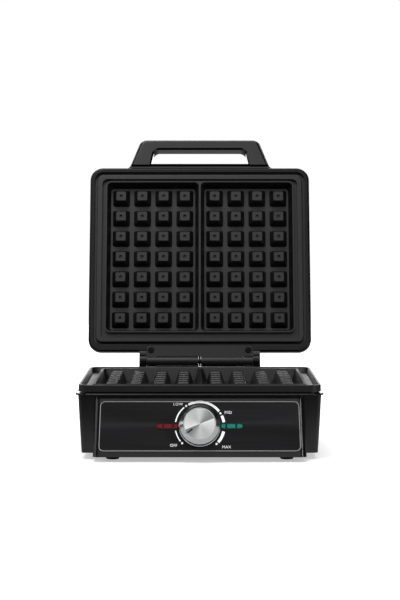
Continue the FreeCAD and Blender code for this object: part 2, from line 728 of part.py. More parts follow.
def lens(side):
    """Coloured lamp lens: a faceted bar through the fascia, with a plug that fills the hole in the wall."""
    outer = lens_outline(LENS_L, LENS_H, -FASCIA_RECESS, FASCIA_T - FASCIA_RECESS + LENS_PROUD, LENS_START)
    crown = [e for e in outer.Edges if abs(e.BoundBox.ZMin - (FASCIA_T - FASCIA_RECESS + LENS_PROUD)) < 1e-4]
    outer = outer.makeChamfer(0.9, crown)
    plug = lens_outline(LENS_L - 2.0, LENS_H - 2.0, -4.5, -FASCIA_RECESS + 0.1, LENS_START + 1.0)
    high = FASCIA_T - FASCIA_RECESS + LENS_PROUD
    notches = []
    for along in LENS_NOTCHES:
        x = LENS_START + along
        notches.append(box(x - 0.55, x + 0.55, -LENS_H, LENS_H, high - 0.7, high + 1))
    return at_panel(mirrored_for(side, outer.fuse(plug).cut(notches)))


# ---------------------------------------------------------------- knob and thermostat
def knob_body():
    """Turned knob: a thin foot ring, a flank that leans in, a bevel and a recess for the spun cap."""
    z0 = KNOB_FOOT
    outline = [
        V(0, 0, z0 + KNOB_H - FACE_RECESS - 2.4),
        V(0, 0, z0 + KNOB_H - FACE_RECESS),
        V(KNOB_FACE_R - 0.4, 0, z0 + KNOB_H - FACE_RECESS),
        V(KNOB_FACE_R - 0.4, 0, z0 + KNOB_H),
        V(KNOB_FACE_R + 0.4, 0, z0 + KNOB_H),
        V(KNOB_R - 1.0, 0, z0 + KNOB_H - 4.4),
        V(KNOB_R - 0.6, 0, z0 + 3.0),
        V(KNOB_R, 0, z0 + 2.4),
        V(KNOB_R, 0, z0),
        V(KNOB_R - KNOB_WALL - 0.6, 0, z0),
        V(KNOB_R - KNOB_WALL - 1.2, 0, z0 + KNOB_H - 6.0),
        V(KNOB_R - KNOB_WALL - 4.2, 0, z0 + KNOB_H - FACE_RECESS - 2.4),
        V(0, 0, z0 + KNOB_H - FACE_RECESS - 2.4),
    ]
    body = Part.Face(Part.makePolygon(outline)).revolve(ORIGIN, Z_AXIS, 360)
    hub = rod(SHAFT_R + 2.2, KNOB_H - 4.0, V(0, 0, z0 + 1.0), Z_AXIS)
    bore = rod(SHAFT_R + 0.05, 12.0, V(0, 0, z0 - 0.5), Z_AXIS)
    groove = box(KNOB_R - 9.0, KNOB_R + 1, -0.9, 0.9, z0 + KNOB_H - 2.6, z0 + KNOB_H + 2)
    groove.rotate(ORIGIN, Z_AXIS, KNOB_POINTER)
    return at_panel(body.fuse(hub).cut([bore, groove]))


def knob_cap():
    """Spun aluminium disc let into the knob's face, with the pointer groove across its edge."""
    z0 = KNOB_FOOT + KNOB_H - FACE_RECESS
    disc = rod(KNOB_FACE_R - 0.5, 0.8, V(0, 0, z0), Z_AXIS)
    disc = disc.makeChamfer(0.25, flat_edges_at(disc, z0 + 0.8))
    groove = box(KNOB_FACE_R - 8.5, KNOB_FACE_R + 1, -0.9, 0.9, z0 + 0.25, z0 + 2)
    groove.rotate(ORIGIN, Z_AXIS, KNOB_POINTER)
    return at_panel(disc.cut(groove))


def shaft():
    """Thermostat spindle, from the thermostat's body into the knob's hub."""
    start = KNOB_FOOT + SHAFT_IN_KNOB - SHAFT_LENGTH
    return at_panel(rod(SHAFT_R, SHAFT_LENGTH, V(0, 0, start), Z_AXIS))


def thermostat():
    """Bimetal thermostat: ceramic body with a threaded neck round the spindle and two blade terminals."""
    back = THERMOSTAT_FRONT - THERMOSTAT_DEPTH
    body = slab(-15, 15, -11, 11, back, THERMOSTAT_FRONT, 3.0)
    neck = rod(SHAFT_R + 1.6, 4.0, V(0, 0, THERMOSTAT_FRONT), Z_AXIS)
    bore = rod(SHAFT_R + 0.08, 30.0, V(0, 0, THERMOSTAT_FRONT - 7.2), Z_AXIS)
    blades = [box(x - 3.15, x + 3.15, -0.4, 0.4, back - 9, back + 2) for x in (-9, 9)]
    return at_panel(body.fuse([neck] + blades).cut(bore))


def thermostat_bracket():
    """Bent sheet bracket that holds the thermostat's neck behind the front wall."""
    plate = slab(-20, 20, -9, 9, THERMOSTAT_FRONT + 0.1, THERMOSTAT_FRONT + 1.3, 2.0)
    plate = plate.cut(rod(SHAFT_R + 1.8, 5, V(0, 0, THERMOSTAT_FRONT - 1), Z_AXIS))
    feet = []
    for side in (-1, 1):
        near, far = sorted((side * 18.8, side * 20.0))
        feet.append(box(near, far, -9, 9, THERMOSTAT_FRONT + 0.1, -WALL - 0.05))
    return at_panel(plate.fuse(feet))


def neon_lamp(side):
    """Small neon lamp in its sleeve, lying behind a lens."""
    x = side * (LENS_START + 4.0)
    glass = rod(2.2, 12.0, V(x, 0, -8.0), V(side, 0, 0))
    base = rod(2.8, 5.0, V(x + side * 11.0, 0, -8.0), V(side, 0, 0))
    return at_panel(glass.fuse(base))


# ---------------------------------------------------------------- heat and wiring in the base
def element(z, lead):
    """Tubular heating element: a loop under or over a pan, with two cold ends turned away by lead."""
    half = PAN_HALF_X - 24
    front = MOULD_SHIFT - PAN_HALF_Y + 22
    rear = ELEMENT_REAR
    end = ELEMENT_END_X
    points = [
        V(-end, rear - 34, z + lead),
        V(-end, rear - 34, z),
        V(-end, rear, z),
        V(-half, rear, z),
        V(-half, front, z),
        V(half, front, z),
        V(half, rear, z),
        V(end, rear, z),
        V(end, rear - 34, z),
        V(end, rear - 34, z + lead),
    ]
    return tube_path(points, ELEMENT_R, ELEMENT_BEND)


def reflector(z, down):
    """Thin pressed tray that throws the element's heat back at the plate."""
    half_x = PAN_HALF_X - 8
    half_y = PAN_HALF_Y - 8
    depth = 2 * ELEMENT_R + 1.0
    z_low, z_high = sorted((z, z + down * depth))
    outer = slab(-half_x, half_x, MOULD_SHIFT - half_y, MOULD_SHIFT + half_y, z_low, z_high, 8)
    t = REFLECTOR_T
    low, high = (z_low + t, z_high + 1) if down < 0 else (z_low - 1, z_high - t)
    half_x -= t
    half_y -= t
    inner = slab(-half_x, half_x, MOULD_SHIFT - half_y, MOULD_SHIFT + half_y, low, high, 8 - t)
    tray = outer.cut(inner)
    rear = ELEMENT_REAR
    slot = ELEMENT_R + 1.0
    holes = []
    for x in (-ELEMENT_END_X, ELEMENT_END_X):
        holes.append(slab(x - slot, x + slot, rear - 38, rear - 20, z - 20, z + 20, 3.0))
    return tray.cut(holes)


def cover_screws():
    """Four screws that hold the bottom cover to the housing's posts."""
    return group([screw(V(x, y, BODY_BOTTOM + 1.0), Z_AXIS, 11.0, head_h=1.2) for x, y in POST_POINTS])


def terminal_points():
    """The three terminals, side by side."""
    return [(CORD_X + k * TERMINAL_PITCH, TERMINAL_FRONT + TERMINAL_D / 2) for k in (-1, 0, 1)]


def terminal_block():
    """Ceramic terminal block by the cord inlet, with three screw terminals."""
    rear = TERMINAL_FRONT + TERMINAL_D
    block = slab(CORD_X - 18, CORD_X + 18, TERMINAL_FRONT, rear, COVER_TOP, COVER_TOP + 16, 2.0)
    holes = [rod(2.4, 8, V(x, y, COVER_TOP + 10), Z_AXIS) for x, y in terminal_points()]
    return block.cut(holes)


def terminal_screws():
    """Small screws standing in the terminal block's wells."""
    made = []
    for x, y in terminal_points():
        top = V(x, y, COVER_TOP + 13.0)
        made.append(screw(top, V(0, 0, -1), 2.8, head_r=2.2, shank_r=1.4, head_h=1.6))
    return group(made)


def cord_gland():
    """Cord inlet: a flanged bush in the rear wall with a bore for the mains lead."""
    face = HOUSING_REAR
    flange = rod(GLAND_R + 2.4, 2.6, V(CORD_X, face, CORD_Z), V(0, 1, 0))
    outer = [e for e in flange.Edges if abs(e.BoundBox.YMin - (face + 2.6)) < 1e-4]
    flange = flange.makeFillet(1.0, outer)
    inner = face - WALL - GLAND_IN
    barrel = rod(GLAND_R - 0.05, WALL + GLAND_IN, V(CORD_X, inner, CORD_Z), V(0, 1, 0))
    bore = rod(CORD_BORE_R, 40, V(CORD_X, face - 20, CORD_Z), V(0, 1, 0))
    return flange.fuse(barrel).cut(bore)


def thermal_fuse():
    """Thermal cut-out clipped under the reflector."""
    z = FUSE_Z
    body = rod(2.0, 12, V(30, 20, z), X_AXIS)
    pins = rod(0.7, 30, V(21, 20, z), X_AXIS)
    clip = box(33, 39, 15, 25, z + 1.6, z + 2.8)
    return body.fuse([pins, clip])


def wire(*points):
    return tube_path([V(*p) for p in points], WIRE_R, WIRE_BEND)


def wires():
    """Leads in the base: one loop by thermostat, cut-out and element, and back to the supply."""
    low = COVER_TOP + 4.0
    level = 14.0  # height of the terminals' entries
    shelf = 27.0  # height of the thermostat's blades
    block_front = TERMINAL_FRONT - 0.3
    blade_y = DIAL_POINT.y + 36.0
    left = CORD_X - TERMINAL_PITCH
    right = CORD_X + TERMINAL_PITCH
    end = ELEMENT_END_X
    lead_y = ELEMENT_REAR - 34.0
    lead_end = LOWER_ELEMENT_Z - LOWER_LEAD - 0.5
    supply = wire(
        (left, block_front, level),
        (left, 40, level),
        (left, 40, low),
        (left, -55, low),
        (9, -55, low),
        (9, -55, shelf),
        (9, blade_y, shelf),
    )
    cutout = wire(
        (-9, blade_y, shelf),
        (-9, -52, shelf),
        (-9, -52, low),
        (-9, 20, low),
        (-9, 20, FUSE_Z),
        (20.5, 20, FUSE_Z),
    )
    feed = wire(
        (51.5, 20, FUSE_Z),
        (62, 20, FUSE_Z),
        (62, 20, 36),
        (62, lead_y, 36),
        (end, lead_y, 36),
        (end, lead_y, lead_end),
    )
    back = wire(
        (-end, lead_y, lead_end),
        (-end, lead_y, 30),
        (-end, 55, 30),
        (right, 55, 30),
        (right, 55, level),
        (right, block_front, level),
    )
    return {"wire_supply": supply, "wire_cutout": cutout, "wire_element": feed, "wire_return": back}


# ---------------------------------------------------------------- hinge
def knuckle(x0, x1):
    return rod(KNUCKLE_R, x1 - x0, V(x0, HINGE_Y, HINGE_Z), X_AXIS)


def pin_hole(half):
    """Running hole for the pin, from -half to half along the axis."""
    return rod(PIN_R + PIN_CLEARANCE, 2 * half, V(-half, HINGE_Y, HINGE_Z), X_AXIS)


def lower_hinge():
    """Lower hinge casting: a leaf on the housing's rear wall, the long left knuckle and the right end one."""
    face = HOUSING_REAR + 0.1
    back = face + LEAF_T
    top = RIM_TOP - 0.3
    foot = top - LOWER_LEAF_H
    leaf = box(-HINGE_HALF, HINGE_HALF, face, back, foot, top)
    corners = edges_where(leaf, lambda e: e.BoundBox.YLength > LEAF_T - 0.1 and e.BoundBox.ZMax < foot + 0.1)
    leaf = leaf.makeFillet(LEAF_CORNER_R, corners)
    shoulder = [(HINGE_Y - 5.3, top), (HINGE_Y, HINGE_Z), (HINGE_Y + 4.2, HINGE_Z - 4.3)]
    web = [(face, top - 16), (face, top)] + shoulder
    spans = [(-KNUCKLE_OUT, -KNUCKLE_IN), (END_KNUCKLE_IN, HINGE_HALF)]
    solids = [leaf]
    for x0, x1 in spans:
        solids += [profile(web, x0, x1), knuckle(x0, x1)]
    under = HINGE_Z - KNUCKLE_R - KNUCKLE_CLEARANCE
    rear = HINGE_Y + 4.5
    saddle = [(face, under - 14), (face, under), (rear, under), (rear, under - 3), (back, under - 14)]
    solids.append(profile(saddle, -HINGE_HALF, HINGE_HALF))
    whole = solids[0].fuse(solids[1:])
    holes = [pin_hole(HINGE_HALF + 1)]
    for x in LEAF_SCREW_X:
        holes.append(rod(SCREW_R + 0.2, 10, V(x, face - 2, LEAF_SCREW_Z), V(0, 1, 0)))
    return whole.cut(holes)


def lower_hinge_screws():
    back = HOUSING_REAR + 0.1 + LEAF_T
    heads = [V(x, back, LEAF_SCREW_Z) for x in LEAF_SCREW_X]
    return group([screw(head, V(0, -1, 0), LEAF_SCREW_LENGTH) for head in heads])


def upper_hinge():
    """Upper hinge casting: a leaf let into the lid, the long right knuckle and the left end one."""
    z0 = UPPER_LEAF_Z
    z1 = z0 + LEAF_T
    front = HINGE_Y - LEAF_REACH
    clear = KNUCKLE_R + KNUCKLE_CLEARANCE
    leaf = box(-HINGE_HALF, HINGE_HALF, front, HINGE_Y - 2.5, z0, z1)
    corners = edges_where(leaf, lambda e: e.BoundBox.ZLength > LEAF_T - 0.1 and e.BoundBox.YMax < front + 0.1)
    leaf = leaf.makeFillet(2.0, corners)
    turning = rod(clear, 2 * HINGE_HALF + 2, V(-HINGE_HALF - 1, HINGE_Y, HINGE_Z), X_AXIS)
    solids = [leaf.cut(turning)]
    for x0, x1 in [(KNUCKLE_IN, KNUCKLE_OUT), (-HINGE_HALF, -END_KNUCKLE_IN)]:
        solids += [box(x0, x1, HINGE_Y - clear - 1, HINGE_Y, z0, z1), knuckle(x0, x1)]
    whole = solids[0].fuse(solids[1:])
    holes = [pin_hole(HINGE_HALF + 1)]
    for x in UPPER_SCREW_X:
        holes.append(rod(SCREW_R + 0.2, 20, V(x, UPPER_SCREW_Y, z0 - 2), Z_AXIS))
        holes.append(rod(SCREW_HEAD_R + 0.3, 1.6, V(x, UPPER_SCREW_Y, z0 - 0.1), Z_AXIS))
    return opened(whole.cut(holes))


def upper_hinge_screws():
    heads = [V(x, UPPER_SCREW_Y, UPPER_LEAF_Z + 1.5) for x in UPPER_SCREW_X]
    return opened(group([screw(head, Z_AXIS, UPPER_SCREW_LENGTH, head_h=1.4) for head in heads]))


def hinge_spacer():
    """Plastic ring on the pin that fills the gap between the two long knuckles."""
    half = KNUCKLE_IN - SIDE_CLEARANCE
    ring = rod(SPACER_R, 2 * half, V(-half, HINGE_Y, HINGE_Z), X_AXIS)
    return ring.cut(pin_hole(half + 1))


def hinge_pin():
    """Steel pin through all four knuckles, held by the lower hinge."""
    half = HINGE_HALF + PIN_PROUD
    return rod(PIN_R, 2 * half, V(-half, HINGE_Y, HINGE_Z), X_AXIS)


# ---------------------------------------------------------------- lid

def lid_form(inset, z0, z1):
    """Outer form of the lid moved in by inset: a straight side, then one that leans in to a round crown."""
    bend = LID_BOTTOM + LID_VERTICAL

    def section(z):
        lean = max(0.0, z - bend) / (LID_TOP - bend)
        shift = inset + LID_INSET * lean
        r = EDGE_R - inset + (LID_TOP_R - EDGE_R) * lean
        return rounded_wire(
            -EDGE_HALF + shift, EDGE_HALF - shift, LID_FRONT + shift, EDGE_REAR - shift, z, r
        )

    low = loft(section(z0), section(bend))
    high = loft(section(bend), section(z1))
    form = low.fuse(high).removeSplitter()
    return form.makeFillet(LID_CROWN - inset, flat_edges_at(form, z1))


def ear_profile():
    """Arm of a hinge ear beside the knuckles, on the closed lid: (y, z) outline."""
    return [
        (HINGE_Y - 14.0, LID_BOTTOM + 1.5),
        (HINGE_Y - 4.0, LID_BOTTOM - 2.5),
        (HINGE_Y + 6.0, HINGE_Z + 6.0),
        (EDGE_REAR - 2.0, LID_BOTTOM + 24.0),
        (HINGE_Y - 18.0, LID_BOTTOM + 26.0),
    ]


def ears():
    """The two lugs beside the knuckles; their heels meet the base at the open stop."""
    made = []
    for side in (-1, 1):
        x0 = HINGE_HALF + EAR_GAP if side > 0 else -HINGE_HALF - EAR_GAP - EAR_T
        x1 = x0 + EAR_T
        lobe = rod(EAR_R, EAR_T, V(x0, HINGE_Y, HINGE_Z), X_AXIS)
        arm = profile(ear_profile(), x0, x1)
        closed = lobe.fuse(arm)
        heel_y = EDGE_REAR + STOP_GAP
        heel = box(x0, x1, heel_y, HINGE_Y + 1.0, HEEL_BOTTOM, HINGE_Z)
        low = edges_where(heel, lambda e: e.BoundBox.ZMax < HEEL_BOTTOM + 0.1)
        toe = [e for e in low if e.BoundBox.YMin > heel_y + 1]
        heel = heel.makeFillet(3.0, toe)
        made.append(opened(closed).fuse(heel))
    return made


def lid_shell():
    """Moulded lid: a domed shell with an inturned lip round the plate, screw bosses and the hinge ears."""
    outer = lid_form(0, LID_BOTTOM, LID_TOP)
    outer = outer.makeFillet(LIP_ROUND, flat_edges_at(outer, LID_BOTTOM))
    inner = lid_form(WALL, LID_BOTTOM + LIP_T, LID_TOP - WALL)
    mouth = slab(
        -EDGE_HALF + LIP_W,
        EDGE_HALF - LIP_W,
        LID_FRONT + LIP_W,
        EDGE_REAR - LIP_REAR,
        LID_BOTTOM - 1,
        LID_BOTTOM + LIP_T + 1,
        EDGE_R - LIP_W,
    )
    shell = outer.cut([inner, mouth])
    bosses = []
    boss_low = LID_BOTTOM + UPPER_FLANGE_TOP
    for x, y in LID_BOSSES:
        side = 1 if x > 0 else -1
        near, far = sorted((x, side * (EDGE_HALF - 5.0)))
        bosses.append(rod(POST_R, LID_BOSS_H, V(x, y, boss_low), Z_AXIS))
        bosses.append(box(near, far, y - 1.2, y + 1.2, boss_low + 2.0, boss_low + 13.0))
    low = UPPER_LEAF_Z + LEAF_T + 0.1
    bosses.append(box(-HINGE_HALF - 3, HINGE_HALF + 3, BLOCK_FRONT, EDGE_REAR - 1.5, low, low + 9.0))
    shell = shell.fuse(bosses)
    notch = box(
        -HINGE_HALF - EAR_GAP / 2,
        HINGE_HALF + EAR_GAP / 2,
        HINGE_Y - LEAF_REACH - 0.4,
        EDGE_REAR + 5,
        LID_BOTTOM - 1,
        UPPER_LEAF_Z + LEAF_T + 0.1,
    )
    pilots = [rod(SCREW_R - 0.2, 14, V(x, UPPER_SCREW_Y, UPPER_LEAF_Z), Z_AXIS) for x in UPPER_SCREW_X]
    pilots += [rod(SCREW_R - 0.2, 12, V(x, y, boss_low - 1), Z_AXIS) for x, y in LID_BOSSES]
    shell = opened(shell.cut([notch] + pilots))
    return shell.fuse(ears())


def upper_plate():
    """Cast upper plate: hidden flange, raised edge, groove, bead and two moulds."""
    z = LID_BOTTOM
    out_x = EDGE_HALF - LIP_W - PLATEAU_GAP
    front = LID_FRONT + LIP_W + PLATEAU_GAP
    rear = EDGE_REAR - LIP_REAR - 2.4
    edge = slab(-out_x, out_x, front, rear, z, z + UPPER_FLANGE_TOP, EDGE_R - LIP_W - 2.5)
    edge = edge.makeFillet(1.0, flat_edges_at(edge, z))
    flange = slab(
        -out_x - 4.5,
        out_x + 4.5,
        front - 4.5,
        rear + 0.6,
        z + UPPER_FLANGE_LOW,
        z + UPPER_FLANGE_TOP,
        EDGE_R - LIP_W,
    )
    pan = slab(
        -PAN_HALF_X,
        PAN_HALF_X,
        MOULD_SHIFT - PAN_HALF_Y,
        MOULD_SHIFT + PAN_HALF_Y,
        z + UPPER_FLANGE_LOW,
        z + PAN_DEPTH,
        6.0,
    )
    plate = edge.fuse([flange, pan])
    ring = slab(
        -out_x + PLATEAU_W,
        out_x - PLATEAU_W,
        front + PLATEAU_W - 0.4,
        rear - 3.3,
        z - 1,
        z + UPPER_GROOVE,
        EDGE_R - LIP_W - 3.5,
    )
    bead_x = MOULD_OUT + UPPER_RIDGE_W
    bead_y = MOULD_HALF_Y + UPPER_RIDGE_W
    island = slab(
        -bead_x,
        bead_x,
        MOULD_SHIFT - bead_y,
        MOULD_SHIFT + bead_y,
        z - 2,
        z + UPPER_GROOVE + 1,
        MOULD_R + UPPER_RIDGE_W,
    )
    plate = plate.cut(ring.cut(island))
    floor = z + MOULD_DEPTH
    plate = plate.cut([mould(side, z, floor) for side in (-1, 1)])
    holes = [rod(SCREW_R + 0.2, 8, V(x, y, z + UPPER_FLANGE_LOW - 1), Z_AXIS) for x, y in LID_BOSSES]
    return opened(plate.cut(holes))


def upper_plate_studs():
    """Four studs from the upper plate's edge into the bosses in the lid's shell."""
    low = LID_BOTTOM + UPPER_FLANGE_LOW
    return opened(group([rod(SCREW_R - 0.25, 14.0, V(x, y, low), Z_AXIS) for x, y in LID_BOSSES]))


def upper_element():
    return opened(element(UPPER_ELEMENT_Z, UPPER_LEAD))


def upper_reflector():
    return opened(reflector(LID_BOTTOM + PAN_DEPTH + 0.05, 1))


# ---------------------------------------------------------------- handle
def handle_form(z0, z1, inset):
    """The handle between two heights, moved in by inset: a tapered loop with a flared root."""
    root = LID_FRONT + HANDLE_UNDER
    tip = LID_FRONT - HANDLE_REACH + inset
    lean = (HANDLE_HALF_ROOT - HANDLE_HALF_TIP) / HANDLE_REACH
    half_root = HANDLE_HALF_ROOT - inset
    half_tip = HANDLE_HALF_TIP - inset
    edges = []
    for side in (1, -1):
        spread_end = V(side * (half_root + FLARE_W), LID_FRONT - 0.6, z0)
        spread_start = V(side * (half_root - lean * FLARE_L), LID_FRONT - FLARE_L, z0)
        bend = V(side * (half_root + FLARE_W * 0.18), LID_FRONT - FLARE_L * 0.36, z0)
        edges.append(Part.LineSegment(V(spread_end.x, root, z0), spread_end).toShape())
        edges.append(Part.Arc(spread_end, bend, spread_start).toShape())
        edges.append(Part.LineSegment(spread_start, V(side * half_tip, tip, z0)).toShape())
    edges.append(Part.LineSegment(V(half_tip, tip, z0), V(-half_tip, tip, z0)).toShape())
    outer = half_root + FLARE_W
    edges.append(Part.LineSegment(V(outer, root, z0), V(-outer, root, z0)).toShape())
    wire = Part.Wire(Part.__sortEdges__(edges))
    loop = Part.Face(wire).extrude(V(0, 0, z1 - z0))
    tips = edges_where(loop, lambda e: e.BoundBox.ZLength > z1 - z0 - 0.1 and e.BoundBox.YMax < tip + 0.1)
    return loop.makeFillet(HANDLE_R - inset, tips)


def handle_slot(z0, z1, grow_low=0.0):
    """The hand slot between two heights; grow_low opens it out at z0."""

    def section(z, grow):
        near = LID_FRONT - SLOT_NEAR + grow
        far = LID_FRONT - SLOT_FAR - grow
        root = SLOT_HALF_ROOT + grow
        end = SLOT_HALF_TIP + grow
        corners = [V(-root, near, z), V(-end, far, z), V(end, far, z), V(root, near, z)]
        hole = Part.Face(Part.makePolygon(corners + corners[:1])).extrude(V(0, 0, 1))
        ends = edges_where(hole, lambda e: e.BoundBox.ZLength > 0.9 and e.BoundBox.YMax < far + 0.1)
        hole = hole.makeFillet(SLOT_R + grow, ends)
        flat = [f for f in hole.Faces if f.BoundBox.ZMax < z + 1e-4]
        return flat[0].OuterWire

    if grow_low:
        return loft(section(z0, grow_low), section(z1, 0.0))
    return Part.Face(section(z0, 0.0)).extrude(V(0, 0, z1 - z0))


def handle_half(z0, z1, round_z, radius, inset):
    """One half of the handle with its outer edges rounded at height round_z."""
    half = handle_form(z0, z1, inset)

    def outer(e):
        b = e.BoundBox
        flat = abs(b.ZMin - round_z) < 1e-4 and abs(b.ZMax - round_z) < 1e-4
        return flat and b.YMin < LID_FRONT + HANDLE_UNDER - 0.1

    half = half.makeFillet(radius, edges_where(half, outer))
    return half.cut([handle_slot(z0 - 1, z1 + 1), lid_form(0, LID_BOTTOM, LID_TOP)])


def handle_lower():
    """Lower half of the handle, seen when the lid is open: a bevelled slot and a recessed neck by the lid."""
    z0 = LID_BOTTOM + HANDLE_LIFT
    half = handle_half(z0, z0 + HANDLE_SPLIT - SEAM_GAP / 2, z0, 2.6, HANDLE_STEP)
    reach = HANDLE_HALF_ROOT + FLARE_W + 5
    neck = box(-reach, reach, LID_FRONT - NECK_W, LID_FRONT + HANDLE_UNDER, z0 - 1, z0 + NECK_DEPTH)
    bevel = handle_slot(z0 - 0.02, z0 + SLOT_BEVEL, SLOT_BEVEL)
    return opened(half.cut([neck, bevel]))


def handle_upper():
    """Upper half of the handle, the larger one."""
    z0 = LID_BOTTOM + HANDLE_LIFT
    top = z0 + HANDLE_T
    return opened(handle_half(z0 + HANDLE_SPLIT + SEAM_GAP / 2, top, top, 4.5, 0.0))


# ---------------------------------------------------------------- assembly
def build():
    keep("base_housing", housing())
    keep("bottom_cover", bottom_cover())
    keep("top_frame", top_frame())
    keep("lower_plate", lower_plate())
    keep("lower_pegs", all_pegs(RIM_TOP - MOULD_DEPTH, 1))
    keep("side_panel_left", side_panel(-1))
    keep("side_panel_right", side_panel(1))
    keep("fascia", fascia())
    keep("lamp_lens_red", lens(-1))
    keep("lamp_lens_green", lens(1))
    keep("neon_lamp_left", neon_lamp(-1))
    keep("neon_lamp_right", neon_lamp(1))
    keep("knob_body", knob_body())
    keep("knob_cap", knob_cap())
    keep("thermostat_shaft", shaft())
    keep("thermostat", thermostat())
    keep("thermostat_bracket", thermostat_bracket())
    for name, (x, y) in zip(FOOT_NAMES, FOOT_POINTS):
        keep(name, foot(x, y))
    keep("lower_element", element(LOWER_ELEMENT_Z, -LOWER_LEAD))
    keep("lower_reflector", reflector(RIM_TOP - PAN_DEPTH - 0.05, -1))
    keep("cover_screws", cover_screws())
    keep("terminal_block", terminal_block())
    keep("terminal_screws", terminal_screws())
    keep("cord_gland", cord_gland())
    keep("thermal_fuse", thermal_fuse())
    for name, lead in wires().items():
        keep(name, lead)
    keep("lower_hinge", lower_hinge())
    keep("lower_hinge_screws", lower_hinge_screws())
    keep("hinge_pin", hinge_pin())
    keep("hinge_spacer", hinge_spacer())
    keep("upper_hinge", upper_hinge())
    keep("upper_hinge_screws", upper_hinge_screws())
    keep("lid_shell", lid_shell())
    keep("upper_plate", upper_plate())
    keep("upper_pegs", opened(all_pegs(LID_BOTTOM + MOULD_DEPTH, -1)))
    keep("upper_plate_studs", upper_plate_studs())
    keep("upper_element", upper_element())
    keep("upper_reflector", upper_reflector())
    keep("handle_lower", handle_lower())
    keep("handle_upper", handle_upper())


def export():
    os.makedirs("parts", exist_ok=True)
    for name, shape in NODES.items():
        shape.exportStep(f"parts/{name}.step")
        b = shape.BoundBox
        print(
            f"{name:22s} solids {len(shape.Solids)} valid {shape.isValid()} {shape.Volume / 1000:8.2f} cm3 "
            f"x {b.XMin:7.1f} {b.XMax:7.1f} y {b.YMin:7.1f} {b.YMax:7.1f} z {b.ZMin:7.1f} {b.ZMax:7.1f}"
        )


build()
export()
print("hinge axis", HINGE_POINT, "dial", DIAL_POINT, DIAL_AXIS)
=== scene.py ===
"""Double waffle maker: materials, fine parts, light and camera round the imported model."""

import json
import math

import bmesh
import bpy
from mathutils import Matrix, Vector


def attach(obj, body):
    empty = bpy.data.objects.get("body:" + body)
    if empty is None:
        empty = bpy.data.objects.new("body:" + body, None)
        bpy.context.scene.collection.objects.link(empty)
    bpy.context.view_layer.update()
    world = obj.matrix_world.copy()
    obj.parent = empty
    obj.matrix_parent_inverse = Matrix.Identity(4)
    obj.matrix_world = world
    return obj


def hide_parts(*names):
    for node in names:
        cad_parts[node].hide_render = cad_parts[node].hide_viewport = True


MM = 0.001
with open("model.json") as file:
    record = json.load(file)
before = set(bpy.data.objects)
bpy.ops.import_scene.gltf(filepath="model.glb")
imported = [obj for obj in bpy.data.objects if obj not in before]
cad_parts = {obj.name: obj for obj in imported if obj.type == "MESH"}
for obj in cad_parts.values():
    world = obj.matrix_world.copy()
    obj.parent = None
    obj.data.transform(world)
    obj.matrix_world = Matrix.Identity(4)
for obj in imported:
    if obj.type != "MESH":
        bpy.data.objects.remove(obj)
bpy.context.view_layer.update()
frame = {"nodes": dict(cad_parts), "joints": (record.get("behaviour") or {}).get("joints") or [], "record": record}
nodes = frame["nodes"]
scene = bpy.context.scene


# the front panel's own frame: X right, Y up the slope, Z out, from the dial's centre
dial = next(j for j in frame["joints"] if j["name"] == "thermostat_dial")
DIAL_CENTRE = Vector(dial["pos_m"])
DIAL_OUT = -Vector(dial["axis"]).normalized()
DIAL_UP = DIAL_OUT.cross(Vector((1, 0, 0)))
PANEL_TURN = Matrix((Vector((1, 0, 0)), DIAL_UP, DIAL_OUT)).transposed()
PANEL = Matrix.Translation(DIAL_CENTRE) @ PANEL_TURN.to_4x4()
PAINTED_FAN_START = 22  # degrees, where the first dark wedge of the spun face's painted reflection fan begins
POINTER = 216  # degrees, where the knob's pointer stands at rest

# the print stands a little out of the fascia, whose face is 0.5 mm above the dial's centre
PRINT_LOW = 0.48 * MM
PRINT_HIGH = 0.56 * MM
PRINT_THICK = PRINT_HIGH - PRINT_LOW
ARC_R = 25.1 * MM  # the printed ring round the knob
DOT_R = 1.05 * MM
WORD_HEIGHT = 3.0 * MM
FASCIA_CORNER = 5.0 * MM
EDGE_IN = 0.12 * MM  # the painted highlight strip along the fascia's bevelled edge, this far inside its outline
EDGE_WIDTH = 0.6 * MM
SHARP_ANGLE = math.radians(32)  # an edge that turns more than this is drawn sharp
LENS_RIBS = (27.3, 37.5)  # millimetres from the middle, the ribs across a lamp's lens


# ---------------------------------------------------------------- node and colour helpers
def colour(code):
    """Linear RGBA of an sRGB hex code."""
    parts = [int(code[i : i + 2], 16) / 255 for i in (1, 3, 5)]
    linear = [c / 12.92 if c <= 0.04045 else ((c + 0.055) / 1.055) ** 2.4 for c in parts]
    return (*linear, 1.0)


def add(tree, kind, inputs=None, **settings):
    """Adds a shader node, sets its settings, and sets or links its inputs."""
    made = tree.nodes.new("ShaderNode" + kind)
    for name, value in settings.items():
        setattr(made, name, value)
    for key, value in (inputs or {}).items():
        if isinstance(value, bpy.types.NodeSocket):
            tree.links.new(value, made.inputs[key])
        else:
            made.inputs[key].default_value = value
    return made


def new_material(name):
    made = bpy.data.materials.new(name)
    made.use_nodes = True
    made.node_tree.nodes.clear()
    return made, made.node_tree


def surface(tree, shader):
    add(tree, "OutputMaterial", {"Surface": shader.outputs[0]})


def place(tree, scale=(1, 1, 1)):
    """Object coordinates in millimetres, scaled along each axis."""
    where = add(tree, "TexCoord")
    sized = add(
        tree, "Mapping", {"Vector": where.outputs["Object"], "Scale": tuple(1000 * s for s in scale)}
    )
    return sized.outputs[0]


def spread(tree, value, low, high):
    """Maps 0..1 onto low..high."""
    return add(tree, "MapRange", {"Value": value, "To Min": low, "To Max": high}).outputs[0]


def tint(tree, value, dark, light):
    ramp = add(tree, "Mix", {"Factor": value, "A": colour(dark), "B": colour(light)}, data_type="RGBA")
    return ramp.outputs["Result"]


